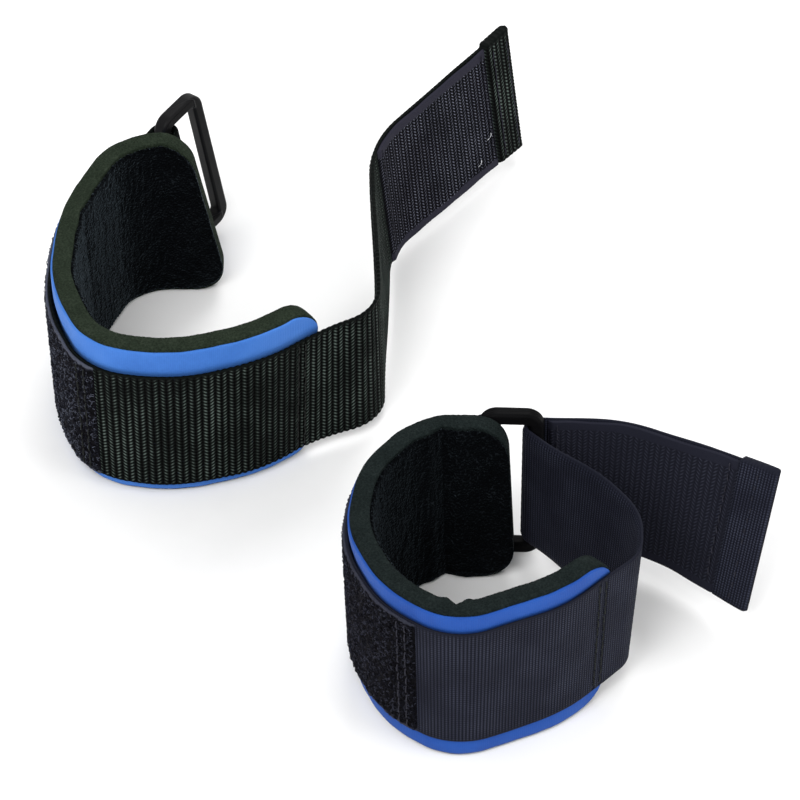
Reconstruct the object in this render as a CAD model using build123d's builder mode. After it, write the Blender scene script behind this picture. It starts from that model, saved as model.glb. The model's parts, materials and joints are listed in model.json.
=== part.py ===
"""A pair of padded hand grips: one lies open with its strap free, the other is threaded through its ring.

Each grip is a foam pad bent into a C, with a smooth cover outside and a pile lining inside. A strap runs
round the outside of the pad from a rectangular ring, carries a strip of loop tape, and goes on past the
front end of the pad as a free tail with hook tape and a folded hem. Everything stands on edge on the floor
plane: Z is the width of the pads and straps, and the plan routes lie in XY. Sizes are in millimetres.
"""

import os
from math import asin, atan2, cos, hypot, pi, radians, sin, tan

from build123d import *

os.makedirs("parts", exist_ok=True)

# ---- Pad ----
pad_height = 65.0
pad_corner_radius = 12.0
foam_thickness = 6.0
cover_thickness = 0.6
lining_thickness = 1.0

# ---- Straps ----
strap_width = 50.0
open_strap_thickness = 2.2
threaded_strap_thickness = 1.6
open_strap_base = 4.3
loop_tape_thickness = 1.8
hook_tape_thickness = 1.2
hook_tape_width = 49.0
open_hook_length = 70.0
threaded_hook_length = 66.0
hem_length = 14.0
keeper_tail = 15.0

# ---- Ring ----
ring_bar = 4.5
ring_depth = 5.0
ring_opening_width = 12.5
ring_strap_clearance = 1.5
ring_corner_radius = 6.0
ring_inner_corner_radius = 1.5
ring_edge_radius = 1.2
open_ring_lean = 10.0
open_ring_swing = 20.0

# ---- Thread ----
thread_radius = 0.35
stitch_length = 3.0
stitch_pitch = 4.4
stitch_margin = 3.0
twin_row_spacing = 3.0

# ---- Clearances ----
flex_gap = 0.4
pad_flex_gap = 0.8
ring_running_clearance = 0.3
ring_foot_clearance = 1.5
ring_swing_gap = 5.6

# ---- Plan routes ----
# Pads run from their front end round to their back end, about the centre of the grip, with their outer
# face on the left. Tails run from their free hem to the front end of the pad.
open_centre = (-71.8, 27.5)
open_pad_corners = [
    (44.0, -33.0),
    (25.0, -48.5),
    (-4.0, -58.0),
    (-32.0, -52.5),
    (-45.0, -22.0),
    (-43.5, 16.0),
    (-30.0, 48.0),
    (-16.0, 56.5),
    (5.0, 56.5),
]
open_tail_corners = [(111.0, 128.5), (63.5, 65.0), (64.0, -23.5)]
open_tail_radii = [42.0, 16.0]
open_leaving_corner = 6
open_keeper_reach = 30.0

threaded_centre = (22.2, -108.5)
threaded_pad_corners = [
    (45.0, -17.5),
    (30.0, -33.0),
    (-5.0, -49.0),
    (-27.0, -33.0),
    (-38.5, -6.0),
    (-34.5, 22.0),
    (-21.0, 40.0),
    (-9.0, 46.5),
    (15.0, 45.5),
]
threaded_tail_corners = [(98.0, 21.0), (73.0, 39.0), (44.0, 54.0)]
threaded_pass_corners = [(40.0, 25.0), (52.5, 8.0), (53.0, -9.3)]
threaded_leaving_corner = 7
threaded_keeper_reach = 15.0
bend_share = 0.45

# ---- Places, as distances from the front end of the pad ----
open_wing_flex = 126.0
open_loop_seam = 80.0
threaded_loop_seam = 71.0
front_seam = 7.0
threaded_side_seam = 4.0
tail_flex = 5.0
tail_bend = 95.0

pad_thickness = cover_thickness + foam_thickness + lining_thickness
ring_opening_length = strap_width + 2 * ring_strap_clearance
ring_length = ring_opening_length + 2 * ring_bar
ring_width = ring_opening_width + 2 * ring_bar
bar_spacing = ring_opening_width + ring_bar
bar_radius = hypot(ring_bar / 2 - ring_edge_radius, ring_depth / 2 - ring_edge_radius) + ring_edge_radius
wrap_radius = bar_radius + ring_running_clearance
ring_height = ring_foot_clearance + ring_length / 2
ring_strap_base = ring_height - strap_width / 2


def heading(start, end):
    """The direction from one plan point to another, in radians."""
    return atan2(end[1] - start[1], end[0] - start[0])


def distance(start, end):
    """The distance between two plan points."""
    return hypot(end[0] - start[0], end[1] - start[1])


def beyond(point, direction, reach):
    """The plan point that far from another in a direction."""
    return (point[0] + reach * cos(direction), point[1] + reach * sin(direction))


def turn_at(before, corner, after):
    """The signed turn that a line makes at a corner, in radians, left turns positive."""
    return (heading(corner, after) - heading(before, corner) + pi) % (2 * pi) - pi


def placed(corners, centre):
    """Corners given about the centre of a grip, in the frame of the pair."""
    return [(x + centre[0], y + centre[1]) for x, y in corners]


def soft_radii(corners):
    """The largest bend at each inner corner that leaves room for its neighbours."""
    radii = []
    for before, corner, after in zip(corners, corners[1:], corners[2:]):
        run = min(distance(before, corner), distance(corner, after))
        radii.append(bend_share * run / tan(abs(turn_at(before, corner, after)) / 2))
    return radii


def crossing(first, first_heading, second, second_heading):
    """The point where two plan lines meet."""
    across = sin(second_heading - first_heading)
    gap = distance(first, second)
    return beyond(first, first_heading, gap * sin(second_heading - heading(first, second)) / across)


class Route:
    """A plan line of straight runs joined by tangent arcs. Offsets are to its left."""

    def __init__(self, corners, radii):
        self.runs = []
        self.length = 0.0
        self.bends = []
        point = corners[0]
        for before, corner, after, radius in zip(corners, corners[1:], corners[2:], radii):
            turn = turn_at(before, corner, after)
            way_in = heading(before, corner)
            reach = radius * tan(abs(turn) / 2)
            bend_start = beyond(corner, way_in, -reach)
            self.extend(point, way_in, distance(point, bend_start), 0.0)
            self.extend(bend_start, way_in, radius * abs(turn), turn)
            self.bends.append((self.length - radius * abs(turn), self.length))
            point = beyond(corner, way_in + turn, reach)
        self.extend(point, heading(corners[-2], corners[-1]), distance(point, corners[-1]), 0.0)

    def extend(self, point, direction, length, turn):
        """Adds a straight run, or an arc that turns by the given angle."""
        self.runs.append((self.length, length, point, direction, turn))
        self.length += length

    def at(self, place, offset=0.0):
        """The point at a place along the route and an offset to its left, and the heading there."""
        for first, length, point, direction, turn in self.runs:
            if place <= first + length:
                break
        along = place - first
        if turn == 0.0:
            return beyond(beyond(point, direction, along), direction + pi / 2, offset), direction
        radius = length / turn
        way = direction + along / radius
        centre = beyond(point, direction + pi / 2, radius)
        return beyond(centre, way + pi / 2, offset - radius), way

    def draw(self, start, end, offset):
        """Draws the stretch between two places, moved by an offset, in the open BuildLine."""
        for first, length, _, _, turn in self.runs:
            low = max(start, first)
            high = min(end, first + length)
            if high - low < 1e-6:
                continue
            if turn == 0.0:
                Line(self.at(low, offset)[0], self.at(high, offset)[0])
            else:
                middle = self.at((low + high) / 2, offset)[0]
                ThreePointArc(self.at(low, offset)[0], middle, self.at(high, offset)[0])

    def outline(self, start, end, near, far):
        """Draws the closed outline of a layer between two offsets, in the open BuildLine."""
        self.draw(start, end, near)
        self.draw(start, end, far)
        Line(self.at(start, near)[0], self.at(start, far)[0])
        Line(self.at(end, near)[0], self.at(end, far)[0])


def save(piece, name):
    """Names a finished piece and writes it out."""
    piece.part.label = name
    export_step(piece.part, f"parts/{name}.step")


def layer(route, start, end, near, far, base, height, knuckle=None):
    """A layer of cloth or foam between two offsets of a route. It may end in a round knuckle at a flex."""
    with BuildPart() as piece:
        with BuildSketch(Plane.XY.offset(base)):
            with BuildLine():
                route.outline(start, end, near, far)
            make_face()
            if knuckle is not None:
                with Locations(route.at(knuckle, (near + far) / 2)[0]):
                    Circle((far - near) / 2)
        extrude(amount=height)
    return piece


def round_corners(piece, route, place, thickness):
    """Rounds the top and bottom corners of a pad layer at one end of its route."""
    x, y = route.at(place)[0]
    with piece:
        corners = piece.edges().filter_by(
            lambda edge: abs(edge.length - thickness) < 1e-4
            and abs((edge @ 0).Z - (edge @ 1).Z) < 1e-6
            and hypot((edge @ 0.5).X - x, (edge @ 0.5).Y - y) < pad_thickness + 1
        )
        fillet(corners, pad_corner_radius)


def pad_layers(prefix, route, start, end, rounded_ends, knuckle=None):
    """Cover, foam core and lining of a stretch of pad. The route follows the outer face."""
    layers = {"cover": cover_thickness, "foam": foam_thickness, "lining": lining_thickness}
    outer = 0.0
    for name, thickness in layers.items():
        inner = outer - thickness
        turning_end = knuckle if name == "foam" else None
        piece = layer(route, start, end, inner, outer, 0, pad_height, turning_end)
        for place in rounded_ends:
            round_corners(piece, route, place, thickness)
        save(piece, f"{prefix}_{name}")
        outer = inner


def bar_plane(route, thickness, height, lean):
    """The plane of a ring in line with the end of a strap, centred on its keeper bar, Z away from the pad."""
    (x, y), way = route.at(route.length, wrap_radius + thickness)
    x_dir = (cos(way) * cos(lean), sin(way) * cos(lean), sin(lean))
    return Plane(origin=(x, y, height), x_dir=x_dir, z_dir=(-sin(way), cos(way), 0))


def ring(plane, name):
    """A rectangular ring whose keeper bar is on the Y axis of a plane and whose free bar is at plus X."""
    with BuildPart() as piece:
        with BuildSketch(plane):
            with Locations((bar_spacing / 2, 0)):
                RectangleRounded(ring_width, ring_length, ring_corner_radius)
                RectangleRounded(
                    ring_opening_width, ring_opening_length, ring_inner_corner_radius, mode=Mode.SUBTRACT
                )
        extrude(amount=ring_depth / 2, both=True)
        flat_faces = piece.faces().filter_by(lambda face: abs(face.normal_at().dot(plane.z_dir)) > 0.999)
        fillet(flat_faces.edges(), ring_edge_radius)
    save(piece, name)


def keeper(plane, thickness, name):
    """The strap folded round a keeper bar and back on itself. Its straight side lies towards the pad."""
    section = Plane(origin=plane.origin, x_dir=plane.x_dir, z_dir=plane.y_dir).offset(-strap_width / 2)
    with BuildPart() as piece:
        with BuildSketch(section):
            Circle(wrap_radius + thickness)
            with Locations((-keeper_tail, wrap_radius)):
                Rectangle(thickness, 2 * thickness, align=(Align.MIN, Align.CENTER))
            make_hull()
        extrude(amount=strap_width)
        with BuildSketch(section):
            Circle(wrap_radius)
            with Locations((-keeper_tail + 3 * thickness, wrap_radius)):
                Circle(thickness / 20)
            make_hull()
        extrude(amount=strap_width, mode=Mode.SUBTRACT)
    save(piece, name)


def upright_row(route, place, offset, base, height):
    """Places for a row of stitches that runs up a strap, on its face at the given offset."""
    count = int((height - 2 * stitch_margin) / stitch_pitch)
    x, y = route.at(place, offset + thread_radius)[0]
    first = base + (height - (count - 1) * stitch_pitch) / 2
    return [(x, y, first + i * stitch_pitch) for i in range(count)]


def stitches(places, name):
    """Upright stitches centred on the given places."""
    with BuildPart() as piece:
        with Locations(*places):
            Cylinder(thread_radius, stitch_length)
    save(piece, name)


def twin_rows(route, place, offset, base):
    """Two rows of stitches side by side across a strap."""
    first = upright_row(route, place, offset, base, strap_width)
    return first + upright_row(route, place + twin_row_spacing, offset, base, strap_width)


def hemmed(route, end, thickness, base, knuckle=None):
    """A strap from its free end to a place, with the end folded over on its outer face."""
    with BuildPart() as piece:
        with BuildSketch(Plane.XY.offset(base)):
            with BuildLine():
                route.outline(0, end, 0, thickness)
            make_face()
            with BuildLine():
                route.outline(0, hem_length, thickness, 2 * thickness)
            make_face()
            if knuckle is not None:
                with Locations(route.at(knuckle, thickness / 2)[0]):
                    Circle(thickness / 2)
        extrude(amount=strap_width)
    return piece


def hook_tape(route, thickness, length, base, name):
    """A strip of hook tape on the outer face of a tail, from its hem inwards."""
    outer = thickness + hook_tape_thickness
    margin = (strap_width - hook_tape_width) / 2
    tape_base = base + margin
    save(layer(route, hem_length, hem_length + length, thickness, outer, tape_base, hook_tape_width), name)
    ends = (hem_length + stitch_margin, hem_length + length - stitch_margin)
    rows = [upright_row(route, place, outer, tape_base, hook_tape_width) for place in ends]
    stitches(rows[0] + rows[1], f"{name}_stitches")


# ---- Open grip: the pad, in a front part and a back wing that flexes on it ----
open_corners = placed(open_pad_corners, open_centre)
open_radii = soft_radii(open_corners)
open_pad = Route(open_corners, open_radii)
open_front_end = open_wing_flex - foam_thickness / 2 - pad_flex_gap
pad_layers("open_front", open_pad, 0, open_front_end, [0])
pad_layers("open_wing", open_pad, open_wing_flex, open_pad.length, [open_pad.length], open_wing_flex)

# ---- Open grip: the strap follows the pad, then leaves it in a straight line for the ring ----
open_leaving = heading(open_corners[open_leaving_corner], open_corners[open_leaving_corner + 1])
open_keeper_end = beyond(open_corners[open_leaving_corner], open_leaving, open_keeper_reach)
open_strap_corners = placed(open_tail_corners, open_centre) + open_corners[: open_leaving_corner + 1]
open_strap_corners.append(open_keeper_end)
open_strap_radii = soft_radii(open_strap_corners)
open_strap_radii[:2] = open_tail_radii
open_strap_radii[3:] = open_radii[:open_leaving_corner]
open_strap = Route(open_strap_corners, open_strap_radii)
open_front_place = open_strap.bends[3][0] - open_pad.bends[0][0]

open_bar = bar_plane(open_strap, open_strap_thickness, ring_height, radians(open_ring_lean))
open_bar_axis = Axis((0, 0, 0), open_bar.y_dir)
open_ring_plane = Plane(
    origin=open_bar.origin,
    x_dir=open_bar.x_dir.rotate(open_bar_axis, -open_ring_swing),
    z_dir=open_bar.z_dir.rotate(open_bar_axis, -open_ring_swing),
)
open_loop_outer = open_strap_thickness + loop_tape_thickness
keeper_start_plane = Plane(origin=open_bar.origin, z_dir=-open_bar.x_dir).offset(keeper_tail)

open_tail_axis = open_front_place - tail_flex
open_bend_axis = open_front_place - tail_bend
open_flex_axis = open_front_place + open_wing_flex
open_root_start = open_tail_axis + open_strap_thickness / 2 + flex_gap
open_root_end = open_front_place + open_front_end
open_seam = open_front_place + open_loop_seam

for name, start, near, far in (
    ("open_webbing", open_root_start, 0, open_strap_thickness),
    ("open_loop_tape", open_seam, open_strap_thickness, open_loop_outer),
):
    save(layer(open_strap, start, open_root_end, near, far, open_strap_base, strap_width), name)

for name, near, far in (
    ("open_wing_webbing", 0, open_strap_thickness),
    ("open_wing_loop_tape", open_strap_thickness, open_loop_outer),
):
    wing_strip = layer(
        open_strap, open_flex_axis, open_strap.length, near, far, ring_strap_base, strap_width
    )
    with wing_strip:
        split(bisect_by=keeper_start_plane, keep=Keep.TOP)
    save(wing_strip, name)

keeper(open_bar, open_strap_thickness, "open_keeper")
ring(open_ring_plane, "open_ring")

open_tail_start = open_bend_axis + open_strap_thickness / 2 + flex_gap
open_tail = layer(
    open_strap, open_tail_start, open_tail_axis, 0, open_strap_thickness, open_strap_base, strap_width,
    open_tail_axis,
)
save(open_tail, "open_tail_webbing")
save(
    hemmed(open_strap, open_bend_axis, open_strap_thickness, open_strap_base, open_bend_axis),
    "open_tail_end_webbing",
)
hook_tape(open_strap, open_strap_thickness, open_hook_length, open_strap_base, "open_hook_tape")

stitches(
    twin_rows(open_strap, open_seam + stitch_margin, open_loop_outer, open_strap_base), "open_loop_seam"
)
stitches(
    twin_rows(open_strap, open_front_place + front_seam, open_strap_thickness, open_strap_base),
    "open_front_seam",
)
stitches(
    upright_row(
        open_strap, stitch_margin, 2 * open_strap_thickness, open_strap_base, strap_width
    )
    + upright_row(
        open_strap, hem_length - stitch_margin, 2 * open_strap_thickness, open_strap_base, strap_width
    ),
    "open_hem_stitches",
)

# ---- Threaded grip: one closed pad ----
threaded_corners = placed(threaded_pad_corners, threaded_centre)
threaded_radii = soft_radii(threaded_corners)
threaded_pad = Route(threaded_corners, threaded_radii)
pad_layers("threaded", threaded_pad, 0, threaded_pad.length, [0, threaded_pad.length])

# ---- Threaded grip: the strap goes through the ring, round its free bar and back on itself ----
threaded_nose = wrap_radius + threaded_strap_thickness
threaded_leaving = heading(
    threaded_corners[threaded_leaving_corner], threaded_corners[threaded_leaving_corner + 1]
)
threaded_keeper_end = beyond(
    threaded_corners[threaded_leaving_corner], threaded_leaving, threaded_keeper_reach
)
keeper_bar_centre = beyond(threaded_keeper_end, threaded_leaving + pi / 2, threaded_nose)
free_bar_centre = beyond(keeper_bar_centre, threaded_leaving, bar_spacing)

threaded_tail = placed(threaded_tail_corners, threaded_centre)
threaded_pass = placed(threaded_pass_corners, threaded_centre)
way_to_bar = heading(threaded_tail[-1], free_bar_centre) - asin(
    threaded_nose / distance(threaded_tail[-1], free_bar_centre)
)
way_back = heading(threaded_pass[0], free_bar_centre) + asin(
    threaded_nose / distance(threaded_pass[0], free_bar_centre)
)
wrap_corner = crossing(threaded_tail[-1], way_to_bar, threaded_pass[0], way_back)

threaded_strap_corners = threaded_tail + [wrap_corner] + threaded_pass
threaded_strap_corners += threaded_corners[: threaded_leaving_corner + 1] + [threaded_keeper_end]
threaded_strap_radii = soft_radii(threaded_strap_corners)
wrap_index = len(threaded_tail) - 1
pad_index = len(threaded_tail) + len(threaded_pass) + 1
threaded_strap_radii[wrap_index] = threaded_nose
threaded_strap_radii[pad_index:] = threaded_radii[:threaded_leaving_corner]
threaded_strap = Route(threaded_strap_corners, threaded_strap_radii)
threaded_front_place = threaded_strap.bends[pad_index][0] - threaded_pad.bends[0][0]
wrap_end = threaded_strap.bends[wrap_index][1]

threaded_bar = bar_plane(threaded_strap, threaded_strap_thickness, ring_height, 0)
threaded_loop_outer = threaded_strap_thickness + loop_tape_thickness
threaded_keeper_start = threaded_strap.length - keeper_tail
threaded_seam = threaded_front_place + threaded_loop_seam

threaded_webbing = layer(
    threaded_strap, wrap_end + ring_swing_gap, threaded_keeper_start, 0, threaded_strap_thickness,
    ring_strap_base, strap_width,
)
save(threaded_webbing, "threaded_webbing")
threaded_loop = layer(
    threaded_strap, threaded_seam, threaded_keeper_start, threaded_strap_thickness, threaded_loop_outer,
    ring_strap_base, strap_width,
)
save(threaded_loop, "threaded_loop_tape")
keeper(threaded_bar, threaded_strap_thickness, "threaded_keeper")
ring(threaded_bar, "threaded_ring")
save(
    hemmed(threaded_strap, wrap_end, threaded_strap_thickness, ring_strap_base), "threaded_tail_webbing"
)
hook_tape(
    threaded_strap, threaded_strap_thickness, threaded_hook_length, ring_strap_base, "threaded_hook_tape"
)

stitches(
    twin_rows(threaded_strap, threaded_seam + stitch_margin, threaded_loop_outer, ring_strap_base),
    "threaded_loop_seam",
)
stitches(
    twin_rows(
        threaded_strap, threaded_front_place + threaded_side_seam, threaded_strap_thickness,
        ring_strap_base,
    ),
    "threaded_front_seam",
)
stitches(
    upright_row(
        threaded_strap, hem_length / 2, 2 * threaded_strap_thickness, ring_strap_base, strap_width
    ),
    "threaded_hem_stitches",
)
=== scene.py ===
"""The looks of the two padded hand grips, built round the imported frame. Lengths are in metres."""

import json
from math import acos, asin, atan2, cos, hypot, pi, radians, sin, tan
from typing import NamedTuple

import bpy
import numpy as np
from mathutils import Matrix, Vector


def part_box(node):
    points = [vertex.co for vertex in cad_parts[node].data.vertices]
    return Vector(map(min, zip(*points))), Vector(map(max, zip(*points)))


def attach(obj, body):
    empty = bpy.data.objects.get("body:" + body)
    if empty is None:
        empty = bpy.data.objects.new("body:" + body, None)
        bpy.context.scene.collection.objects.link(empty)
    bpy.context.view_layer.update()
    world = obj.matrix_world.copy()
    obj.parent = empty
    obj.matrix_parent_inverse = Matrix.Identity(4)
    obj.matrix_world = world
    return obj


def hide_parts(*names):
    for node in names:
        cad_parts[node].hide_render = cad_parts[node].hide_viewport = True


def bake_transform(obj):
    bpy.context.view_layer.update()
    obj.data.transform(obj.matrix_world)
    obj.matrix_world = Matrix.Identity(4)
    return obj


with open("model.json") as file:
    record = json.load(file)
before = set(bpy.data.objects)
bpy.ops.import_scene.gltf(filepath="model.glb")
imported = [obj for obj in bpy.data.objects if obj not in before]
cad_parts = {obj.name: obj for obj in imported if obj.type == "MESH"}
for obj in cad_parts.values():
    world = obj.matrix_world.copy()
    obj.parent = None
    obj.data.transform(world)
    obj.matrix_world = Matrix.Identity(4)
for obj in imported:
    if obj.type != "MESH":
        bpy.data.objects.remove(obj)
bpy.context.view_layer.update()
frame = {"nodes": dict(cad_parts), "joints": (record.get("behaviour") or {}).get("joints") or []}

MM = 0.001

# ---- Pad ----
PAD_HEIGHT = 65 * MM
PAD_CORNER = 12 * MM
COVER = 0.6 * MM
FOAM = 6.0 * MM
LINING = 1.0 * MM
PAD_THICKNESS = COVER + FOAM + LINING

# ---- Straps ----
STRAP_WIDTH = 50 * MM
OPEN_STRAP = 2.2 * MM
THREADED_STRAP = 1.6 * MM
OPEN_STRAP_BASE = 4.3 * MM
RING_STRAP_BASE = 7.5 * MM
HOOK_TAPE = 1.2 * MM
HOOK_WIDTH = 49 * MM
OPEN_HOOK = 70 * MM
THREADED_HOOK = 66 * MM
HEM = 14 * MM
KEEPER_TAIL = 15 * MM
WRAP = 3.39 * MM
RING_LEAN = radians(10)

# ---- Plan routes, as in the CAD source: corners about the centre of each grip, in millimetres ----
OPEN_CENTRE = (-71.8, 27.5)
OPEN_PAD = [(44, -33), (25, -48.5), (-4, -58), (-32, -52.5), (-45, -22), (-43.5, 16), (-30, 48),
            (-16, 56.5), (5, 56.5)]
OPEN_TAIL = [(111, 128.5), (63.5, 65), (64, -23.5)]
OPEN_TAIL_RADII = [42, 16]
OPEN_LEAVING = 6
OPEN_REACH = 30

THREADED_CENTRE = (22.2, -108.5)
THREADED_PAD = [(45, -17.5), (30, -33), (-5, -49), (-27, -33), (-38.5, -6), (-34.5, 22), (-21, 40),
                (-9, 46.5), (15, 45.5)]
THREADED_TAIL = [(98, 21), (73, 39), (44, 54)]
THREADED_PASS = [(40, 25), (52.5, 8), (53, -9.3)]
THREADED_LEAVING = 7
THREADED_REACH = 15
BEND_SHARE = 0.45

# ---- Places, from the front end of the pad ----
WING_FLEX = 126 * MM
OPEN_SEAM = 80 * MM
THREADED_SEAM = 71 * MM
FRONT_SEAM = 7 * MM
SIDE_SEAM = 4 * MM
TAIL_FLEX = 5 * MM
TAIL_BEND = 95 * MM


def heading(start, end):
    return atan2(end[1] - start[1], end[0] - start[0])


def distance(start, end):
    return hypot(end[0] - start[0], end[1] - start[1])


def beyond(point, direction, reach):
    return (point[0] + reach * cos(direction), point[1] + reach * sin(direction))


def turn_at(before, corner, after):
    return (heading(corner, after) - heading(before, corner) + pi) % (2 * pi) - pi


def placed(corners, centre):
    return [((x + centre[0]) * MM, (y + centre[1]) * MM) for x, y in corners]


def soft_radii(corners):
    radii = []
    for before, corner, after in zip(corners, corners[1:], corners[2:]):
        run = min(distance(before, corner), distance(corner, after))
        radii.append(BEND_SHARE * run / tan(abs(turn_at(before, corner, after)) / 2))
    return radii


class Route:
    """A line of straight runs joined by tangent arcs. Offsets are to its left."""

    def __init__(self, corners, radii):
        self.runs = []
        self.bends = []
        self.length = 0.0
        point = corners[0]
        for before, corner, after, radius in zip(corners, corners[1:], corners[2:], radii):
            turn = turn_at(before, corner, after)
            way_in = heading(before, corner)
            reach = radius * tan(abs(turn) / 2)
            bend_start = beyond(corner, way_in, -reach)
            self.extend(point, way_in, distance(point, bend_start), 0.0)
            self.extend(bend_start, way_in, radius * abs(turn), turn)
            self.bends.append((self.length - radius * abs(turn), self.length))
            point = beyond(corner, way_in + turn, reach)
        self.extend(point, heading(corners[-2], corners[-1]), distance(point, corners[-1]), 0.0)

    def extend(self, point, direction, length, turn):
        self.runs.append((self.length, length, point[0], point[1], direction, turn))
        self.length += length

    def points(self, places, offsets):
        """Plan points at places along the route and offsets to its left, as two arrays."""
        places, offsets = np.broadcast_arrays(np.asarray(places, float), np.asarray(offsets, float))
        runs = np.array(self.runs)
        found = np.clip(np.searchsorted(runs[:, 0], places, side="right") - 1, 0, len(runs) - 1)
        first, length, x, y, direction, turn = (runs[found, k] for k in range(6))
        along = places - first
        way = direction + turn * along / np.maximum(length, 1e-12)
        straight = np.abs(turn) < 1e-12
        radius = np.where(straight, 1.0, length / np.where(straight, 1.0, turn))
        bend_x = x + radius * (np.sin(way) - np.sin(direction))
        bend_y = y - radius * (np.cos(way) - np.cos(direction))
        px = np.where(straight, x + along * np.cos(direction), bend_x)
        py = np.where(straight, y + along * np.sin(direction), bend_y)
        return px - offsets * np.sin(way), py + offsets * np.cos(way)

    def at(self, place, offset=0.0, height=0.0):
        x, y = self.points(place, offset)
        return (float(x), float(y), height)


def strap_line(way_in, corners, radii, leaving, reach):
    """The corners and radii of a strap that comes in by its own corners and follows a pad to its keeper."""
    line = way_in + corners[: leaving + 1]
    line.append(beyond(corners[leaving], heading(corners[leaving], corners[leaving + 1]), reach * MM))
    line_radii = soft_radii(line)
    line_radii[len(way_in):] = radii[:leaving]
    return line, line_radii


# ---- The four routes ----
joints = {j["name"]: j for j in frame["joints"]}

open_corners = placed(OPEN_PAD, OPEN_CENTRE)
open_radii = soft_radii(open_corners)
open_pad = Route(open_corners, open_radii)
open_tail = placed(OPEN_TAIL, OPEN_CENTRE)
open_line, open_line_radii = strap_line(open_tail, open_corners, open_radii, OPEN_LEAVING, OPEN_REACH)
open_line_radii[: len(OPEN_TAIL_RADII)] = [r * MM for r in OPEN_TAIL_RADII]
open_strap = Route(open_line, open_line_radii)
OPEN_FRONT = open_strap.bends[len(open_tail)][0] - open_pad.bends[0][0]

threaded_corners = placed(THREADED_PAD, THREADED_CENTRE)
threaded_radii = soft_radii(threaded_corners)
threaded_pad = Route(threaded_corners, threaded_radii)
nose = WRAP + THREADED_STRAP
free_bar = joints["threaded_tail_swing"]["pos_m"][:2]
threaded_tail = placed(THREADED_TAIL, THREADED_CENTRE)
threaded_pass = placed(THREADED_PASS, THREADED_CENTRE)
way_to_bar = heading(threaded_tail[-1], free_bar) - asin(nose / distance(threaded_tail[-1], free_bar))
way_back = heading(threaded_pass[0], free_bar) + asin(nose / distance(threaded_pass[0], free_bar))
across = distance(threaded_tail[-1], threaded_pass[0]) * sin(
    way_back - heading(threaded_tail[-1], threaded_pass[0])
) / sin(way_back - way_to_bar)
wrap_corner = beyond(threaded_tail[-1], way_to_bar, across)
threaded_way = threaded_tail + [wrap_corner] + threaded_pass
threaded_line, threaded_line_radii = strap_line(
    threaded_way, threaded_corners, threaded_radii, THREADED_LEAVING, THREADED_REACH
)
WRAP_BEND = len(threaded_tail) - 1
threaded_line_radii[WRAP_BEND] = nose
threaded_strap = Route(threaded_line, threaded_line_radii)
THREADED_FRONT = threaded_strap.bends[len(threaded_way)][0] - threaded_pad.bends[0][0]
WRAP_START, WRAP_END = threaded_strap.bends[WRAP_BEND]


# ---- Small helpers ----
def smooth(x, low, high):
    """0 before low, 1 after high, smooth between."""
    t = np.clip((np.asarray(x, float) - low) / (high - low), 0, 1)
    return t * t * (3 - 2 * t)


def ripple(x, scale, seed):
    """A smooth wandering value between about -1 and 1 along x."""
    phases = np.random.default_rng(seed).uniform(0, 2 * pi, 5)
    return sum(
        np.sin(2 * pi * x / (scale * (1.0 + 0.37 * k)) + phases[k]) / (1.6 + k) for k in range(5)
    ) / 1.5


def new_mesh(name, vertices, faces, uv=None, attributes=()):
    """An object from vertex and face arrays, shaded smooth, with a UV value for each vertex."""
    mesh = bpy.data.meshes.new(name)
    mesh.from_pydata(vertices.reshape(-1, 3).tolist(), [], faces)
    mesh.polygons.foreach_set("use_smooth", [len(face) == 4 for face in faces])
    if uv is not None:
        layer = mesh.uv_layers.new(name="strip")
        corner = np.zeros(len(mesh.loops), np.int32)
        mesh.loops.foreach_get("vertex_index", corner)
        layer.data.foreach_set("uv", uv.reshape(-1, 2)[corner].astype(np.float32).ravel())
    for key, values in attributes:
        made = mesh.attributes.new(key, "FLOAT", "POINT")
        made.data.foreach_set("value", np.asarray(values, np.float32))
    obj = bpy.data.objects.new(name, mesh)
    bpy.context.scene.collection.objects.link(obj)
    return obj


def stack_faces(rows, columns):
    """Quads between neighbouring rings of points."""
    first = columns * np.arange(rows - 1)[:, None]
    j = np.arange(columns)[None, :]
    k = (j + 1) % columns
    corners = (first + j, first + k, first + columns + k, first + columns + j)
    return np.stack(np.broadcast_arrays(*corners), -1).reshape(-1, 4)


def sweep(name, route, places, offsets, heights, skew=0.0, matrix=None, attributes=()):
    """A closed solid from sections along a route. offsets and heights hold one row for each place."""
    rows, columns = offsets.shape
    along = places[:, None] + skew + np.zeros_like(offsets)
    x, y = route.points(along, offsets)
    points = np.stack([x, y, heights], -1)
    if matrix is not None:
        points = points @ matrix[:3, :3].T + matrix[:3, 3]
    uv = np.stack([along, heights], -1)
    faces = stack_faces(rows, columns).tolist()
    faces.append(list(range(columns)))
    faces.append([(rows - 1) * columns + c for c in reversed(range(columns))])
    return new_mesh(name, points, faces, uv, attributes)


def band_section(low, high, base, top, columns, edge):
    """One strip section: up the outer face, round the top edge, down the inner face, round the bottom."""
    height = np.linspace(0, 1, columns)
    lift = np.concatenate([height, [1, 1], height[::-1], [0, 0]])
    side = np.concatenate([np.ones(columns), [0.72, 0.28], np.zeros(columns), [0.28, 0.72]])
    inset = np.zeros_like(lift)
    inset[[0, columns - 1, columns + 2, 2 * columns + 1]] = edge
    sign = np.where(lift > 0.5, -1, 1)
    offsets = low[:, None] + (high - low)[:, None] * side
    heights = base[:, None] + (top - base)[:, None] * lift + sign * inset
    outer = np.concatenate([np.ones(columns), np.zeros(columns + 4)]).astype(bool)
    inner = np.concatenate([np.zeros(columns + 2), np.ones(columns), np.zeros(2)]).astype(bool)
    return offsets, heights, outer, inner


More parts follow.
